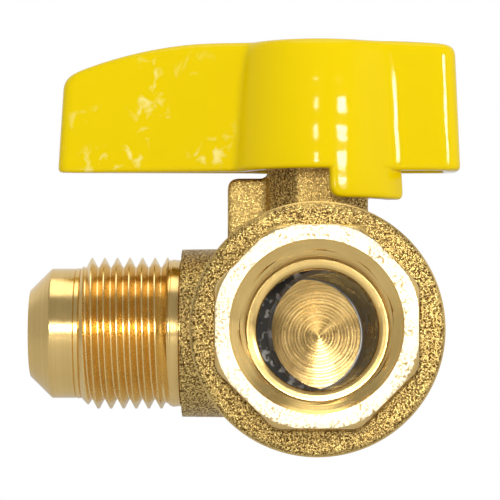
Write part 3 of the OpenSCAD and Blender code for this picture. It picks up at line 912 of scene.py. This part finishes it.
def around_tangent(n, axis):
    """World direction that runs around a machining axis, for brushed highlights."""
    x, y, z = n.split()
    if axis == "port":
        local = n.join(n.math("MULTIPLY", z, -1.0), 0.0, x)
    elif axis == "flare":
        local = n.join(0.0, n.math("MULTIPLY", z, -1.0), n.math("SUBTRACT", y, STEM_Y * MM))
    else:
        local = n.join(n.math("SUBTRACT", STEM_Y * MM, y), x, 0.0)
    turn = n.tree.nodes.new("ShaderNodeVectorTransform")
    turn.vector_type = "VECTOR"
    turn.convert_from = "OBJECT"
    turn.convert_to = "WORLD"
    n.link(local, turn.inputs[0])
    unit = n.tree.nodes.new("ShaderNodeVectorMath")
    unit.operation = "NORMALIZE"
    n.link(turn.outputs[0], unit.inputs[0])
    return unit.outputs[0]


def machined_brass(name, axis, light, dark, rough, ring_mm, ring_depth, brush, along_too=True, streak=0.5):
    """Turned brass: tool rings, random rings that go all the way round, a brushed highlight and tarnish."""
    n = Material(name)
    rings = ring_marks(n, axis, ring_mm, along_too)
    streaks = n.noise(2400.0, 3.0, 0.65, n.join(n.along(axis), n.radius(axis), 0.0))
    scuff = n.noise(900.0, 3.0, 0.6)
    height = n.math("ADD", n.math("MULTIPLY", rings, 0.5), n.math("MULTIPLY", streaks, 2.2))
    height = n.math("ADD", height, n.math("MULTIPLY", scuff, 0.2))
    tarnish = n.mix(n.ramp(n.noise(160.0, 4.0, 0.6), 0.35, 0.7, 0.0, 0.8), light, dark)
    tone = n.ramp(streaks, 0.38, 0.62, 0.0, streak)
    n.set(Base_Color=n.mix(tone, tarnish, tuple(c * 0.62 for c in dark)), Metallic=1.0)
    n.set(Roughness=n.ramp(scuff, 0.3, 0.7, rough * 0.8, rough * 1.25))
    n.brushed_across(brush)
    n.set(Normal=n.bump(height, 0.5, ring_depth), Tangent=around_tangent(n, axis))
    return n.material


def faced_brass():
    """The octagon's faced front: bright, with facing marks, fine scuffs and specks."""
    n = Material("faced_brass")
    rings = ring_marks(n, "port", 0.16, False)
    specks = n.noise(2600.0, 3.0, 0.65)
    rub = n.noise(330.0, 2.0, 0.5)
    dents = n.math("MULTIPLY", n.ramp(specks, 0.46, 0.60), n.ramp(rub, 0.38, 0.60, 0.25, 1.0))
    height = n.math("ADD", n.math("MULTIPLY", rings, 0.35), n.math("MULTIPLY", specks, 1.0))
    base = n.mix(dents, (0.93, 0.79, 0.54), (0.32, 0.21, 0.07))
    n.set(Base_Color=base, Metallic=1.0, Roughness=n.ramp(specks, 0.3, 0.7, 0.26, 0.42))
    n.brushed_across(0.6)
    n.set(Normal=n.bump(height, 0.8, 0.03), Tangent=around_tangent(n, "port"))
    return n.material


def chrome(name, tint, rough, painted_dark_share):
    """Polished plating painted darker by a set share as painted shade and dark reflection, with faint smears
    and small rougher worn spots at the plating's own tint.
    """
    n = Material(name)
    smear = n.noise(260.0, 4.0, 0.6)
    worn = n.ramp(n.noise(900.0, 2.0, 0.5), 0.56, 0.62)
    lighter = n.mix(n.ramp(smear, 0.4, 0.7), tint, tuple(c * 0.8 for c in tint))
    # painted shade and dark reflection: the whole plating is painted darker, by the given share, towards 8%
    # of its tint
    painted_dark = n.mix(painted_dark_share, lighter, tuple(c * 0.08 for c in tint))
    n.set(Base_Color=n.mix(worn, painted_dark, tint), Metallic=1.0)
    gloss = n.ramp(smear, 0.35, 0.7, rough, rough * 2.0)
    n.set(Roughness=n.math("MULTIPLY_ADD", worn, 0.30, gloss))
    n.set(Normal=n.bump(n.noise(700.0, 2.0), 0.3, 0.02))
    return n.material


HUB_RING_PITCH = 0.0034
HUB_RING_PHASE = -1.385


def yellow_coating():
    """Glossy epoxy coat over a die casting: orange peel, slow waves, faint rings round the hub, and pale
    specks on the arm that are painted highlights."""
    n = Material("yellow_coating")
    x, _, z = n.split()
    peel = n.noise(900.0, 2.0, 0.5)
    waves = n.noise(260.0, 1.0, 0.4)
    bands = n.math("SINE", n.math("MULTIPLY_ADD", z, TURN / HUB_RING_PITCH, HUB_RING_PHASE))
    height = n.math("ADD", n.math("MULTIPLY", peel, 0.12), n.math("MULTIPLY", waves, 0.8))
    on_hub = n.ramp(n.math("ABSOLUTE", x), 0.0066, 0.0054, 0.0, 0.16)
    height = n.math("MULTIPLY_ADD", bands, on_hub, height)
    drift = n.ramp(n.noise(60.0, 3.0, 0.5), 0.3, 0.7, 0.0, 0.5)
    base = n.mix(drift, (0.87, 0.635, 0.0), (0.84, 0.605, 0.0))
    # painted highlight: pale specks on the arm stand in for glints of light on the coat
    glint_patch = n.math("MULTIPLY", n.ramp(n.noise(150.0, 1.0, 0.5), 0.52, 0.62), n.ramp(x, -0.010, -0.012))
    painted_glint = n.math("MULTIPLY", n.ramp(n.noise(560.0, 2.0, 0.5, None, 0.6), 0.54, 0.70), glint_patch)
    base = n.mix(n.math("MULTIPLY", painted_glint, 0.7), base, (1.0, 0.88, 0.32))
    n.set(Base_Color=base, Roughness=n.ramp(peel, 0.3, 0.7, 0.06, 0.10))
    n.bsdf.inputs["IOR"].default_value = 1.5
    n.bsdf.inputs["Specular IOR Level"].default_value = 0.14
    n.set(Normal=n.bump(height, 1.0, 0.09))
    return n.material


def soft_plastic(name, tint, rough):
    """Waxy or rubbery moulded surface with a fine matt grain."""
    n = Material(name)
    grain = n.noise(1500.0, 3.0, 0.6)
    n.set(Base_Color=n.mix(n.ramp(grain, 0.3, 0.7), tint, tuple(c * 0.9 for c in tint)))
    n.set(Roughness=n.ramp(grain, 0.3, 0.7, rough, rough * 1.2), Normal=n.bump(grain, 0.3, 0.02))
    return n.material


def zinc_steel():
    """Zinc-plated steel with a cloudy spangle."""
    n = Material("zinc_steel")
    cloud = n.noise(500.0, 4.0, 0.6)
    spangle = n.cells(900.0)
    n.set(Base_Color=n.mix(cloud, (0.62, 0.63, 0.64), (0.80, 0.80, 0.78)), Metallic=1.0)
    n.set(Roughness=n.ramp(spangle, 0.0, 0.8, 0.24, 0.42), Normal=n.bump(cloud, 0.3, 0.02))
    return n.material


def make_materials():
    """Every material of the valve by name."""
    pale = (0.88, 0.63, 0.24)
    deep = (0.78, 0.53, 0.18)
    return {
        "forged_brass": forged_brass(),
        "faced_brass": faced_brass(),
        "bore_brass": machined_brass(
            "bore_brass", "port", pale, deep, rough=0.22, ring_mm=0.42, ring_depth=0.02, brush=0.6,
            streak=0.2),
        "flats_brass": machined_brass(
            "flats_brass", "port", pale, deep, rough=0.28, ring_mm=0.5, ring_depth=0.01, brush=0.3),
        "drill_brass": machined_brass(
            "drill_brass", "port", (0.76, 0.53, 0.21), (0.56, 0.36, 0.11), rough=0.16, ring_mm=0.42,
            ring_depth=0.018, brush=1.0, along_too=False, streak=0.4),
        "flare_brass": machined_brass(
            "flare_brass", "flare", (0.86, 0.61, 0.24), (0.82, 0.57, 0.21), rough=0.22, ring_mm=0.3,
            ring_depth=0.006, brush=0.5, streak=0.2),
        "thread_brass": machined_brass(
            "thread_brass", "flare", (0.90, 0.67, 0.30), (0.85, 0.61, 0.25), rough=0.24, ring_mm=0.4,
            ring_depth=0.004, brush=0.3, streak=0.2),
        "stem_brass": machined_brass(
            "stem_brass", "stem", pale, deep, rough=0.22, ring_mm=0.3, ring_depth=0.008, brush=0.5),
        "chrome": chrome("chrome", (0.86, 0.86, 0.86), rough=0.05, painted_dark_share=0.85),
        "ball_bore": chrome("ball_bore", (0.78, 0.80, 0.84), rough=0.20, painted_dark_share=0.15),
        "ball_edge": chrome("ball_edge", (0.95, 0.95, 0.93), rough=0.35, painted_dark_share=0.0),
        "yellow_coating": yellow_coating(),
        "ptfe": soft_plastic("ptfe", (0.86, 0.85, 0.80), rough=0.45),
        "black_rubber": soft_plastic("black_rubber", (0.025, 0.025, 0.026), rough=0.5),
        "zinc_steel": zinc_steel(),
    }


def dress_cad_nodes(mats):
    """Materials for the CAD nodes that stay visible."""
    choice = {"cap_seal_ring": "black_rubber", "front_seat": "ptfe", "rear_seat": "ptfe",
              "stem": "stem_brass", "stem_thrust_washer": "ptfe", "stem_o_ring_lower": "black_rubber",
              "stem_o_ring_upper": "black_rubber"}
    for node, key in choice.items():
        mesh = frame["nodes"][node].data
        mesh.materials.clear()
        mesh.materials.append(mats[key])
        mesh.shade_smooth()


# ---------------------------------------------------------------- studio

# Brightness of the room in each direction.
WORLD_BELOW = 0.6
WORLD_ABOVE = 2.0
WORLD_BEHIND = 0.8
WORLD_RIGHT = 0.85
WORLD_LEFT = 0.5
WORLD_DIM = 0.36
FLOOR_Z = -0.12
FLOOR_HALF = 3.0
CAMERA_AT = Vector((3.0, -464.0, -15.0)) * MM
CAMERA_TARGET = Vector((-8.6, STEM_Y, 10.5)) * MM
CAMERA_LENS = 279.6
LIGHT_TARGET = Vector((-0.005, 0.015, 0.01))


def softbox(name, direction, distance, width, height, power):
    """An area light aimed at the valve, given by azimuth and elevation in degrees."""
    az, el = (math.radians(a) for a in direction)
    away = Vector((math.cos(el) * math.sin(az), -math.cos(el) * math.cos(az), math.sin(el)))
    light = bpy.data.lights.new(name, "AREA")
    light.shape = "RECTANGLE"
    light.size = width
    light.size_y = height
    light.energy = power
    obj = bpy.data.objects.new(name, light)
    obj.location = LIGHT_TARGET + away * distance
    obj.rotation_euler = (-away).to_track_quat("-Z", "Y").to_euler()
    bpy.context.scene.collection.objects.link(obj)
    return obj


def make_world():
    """A pale room: bright overhead, even below, dim between, and plain white to the camera."""
    world = bpy.data.worlds.new("studio")
    bpy.context.scene.world = world
    world.use_nodes = True
    n = Nodes(world.node_tree, "Generated")
    x, y, z = n.split()
    level = WORLD_DIM
    for side, start, full, brightness in ((z, -0.01, -0.06, WORLD_BELOW), (z, 0.90, 0.945, WORLD_ABOVE),
                                          (y, 0.0, 0.5, WORLD_BEHIND), (x, 0.55, 0.80, WORLD_RIGHT),
                                          (x, -0.45, -0.75, WORLD_LEFT)):
        level = n.math("MAXIMUM", level, n.math("MULTIPLY", n.ramp(side, start, full), brightness))
    to_camera = n.tree.nodes.new("ShaderNodeLightPath").outputs["Is Camera Ray"]
    lit = n.math("MULTIPLY", level, n.math("SUBTRACT", 1.0, to_camera))
    back = n.tree.nodes.new("ShaderNodeBackground")
    back.inputs["Color"].default_value = (1.0, 1.0, 1.0, 1.0)
    n.link(n.math("MAXIMUM", lit, to_camera), back.inputs["Strength"])
    out = n.tree.nodes.new("ShaderNodeOutputWorld")
    n.link(back.outputs[0], out.inputs["Surface"])


def make_floor():
    """A wide pale sheet well below the valve."""
    mesh = bpy.data.meshes.new("floor")
    corners = [(sx * FLOOR_HALF, sy * FLOOR_HALF, FLOOR_Z) for sx, sy in ((-1, -1), (1, -1), (1, 1), (-1, 1))]
    mesh.from_pydata(corners, [], [(0, 1, 2, 3)])
    floor = bpy.data.objects.new("floor", mesh)
    bpy.context.scene.collection.objects.link(floor)
    n = Material("floor_paper")
    fibre = n.noise(40.0, 3.0, 0.5)
    n.set(Base_Color=n.mix(fibre, (0.66, 0.66, 0.66), (0.70, 0.70, 0.70)), Roughness=0.9)
    mesh.materials.append(n.material)


def make_camera():
    """A long lens that looks nearly along the port, from a little below it."""
    cam = bpy.data.cameras.new("camera")
    cam.lens = CAMERA_LENS
    cam.sensor_width = 36.0
    cam.clip_end = 10.0
    cam.clip_start = 0.01
    obj = bpy.data.objects.new("camera", cam)
    obj.location = CAMERA_AT
    obj.rotation_euler = (CAMERA_TARGET - CAMERA_AT).to_track_quat("-Z", "Y").to_euler()
    bpy.context.scene.collection.objects.link(obj)
    bpy.context.scene.camera = obj


def make_lights():
    """A tall box just above the camera, a second one to its right, and a broad fill that gives no glints."""
    softbox("front_box", (-1.5, 6.9), 1.0, 0.09, 0.20, 2.2)
    softbox("right_box", (31, 11.0), 1.0, 0.19, 0.07, 2.5)
    fill = softbox("fill", (-10, 25), 1.2, 1.0, 1.0, 1.55)
    fill.visible_glossy = False


# ---------------------------------------------------------------- build

mats = make_materials()
make_camera()
make_body(mats)
make_flare(mats)
make_cap(mats)
make_ball(mats)
make_handle(mats)
make_screw(mats)
make_washer(mats)
dress_cad_nodes(mats)
make_world()
make_floor()
make_lights()
bpy.context.scene.view_settings.view_transform = "Standard"
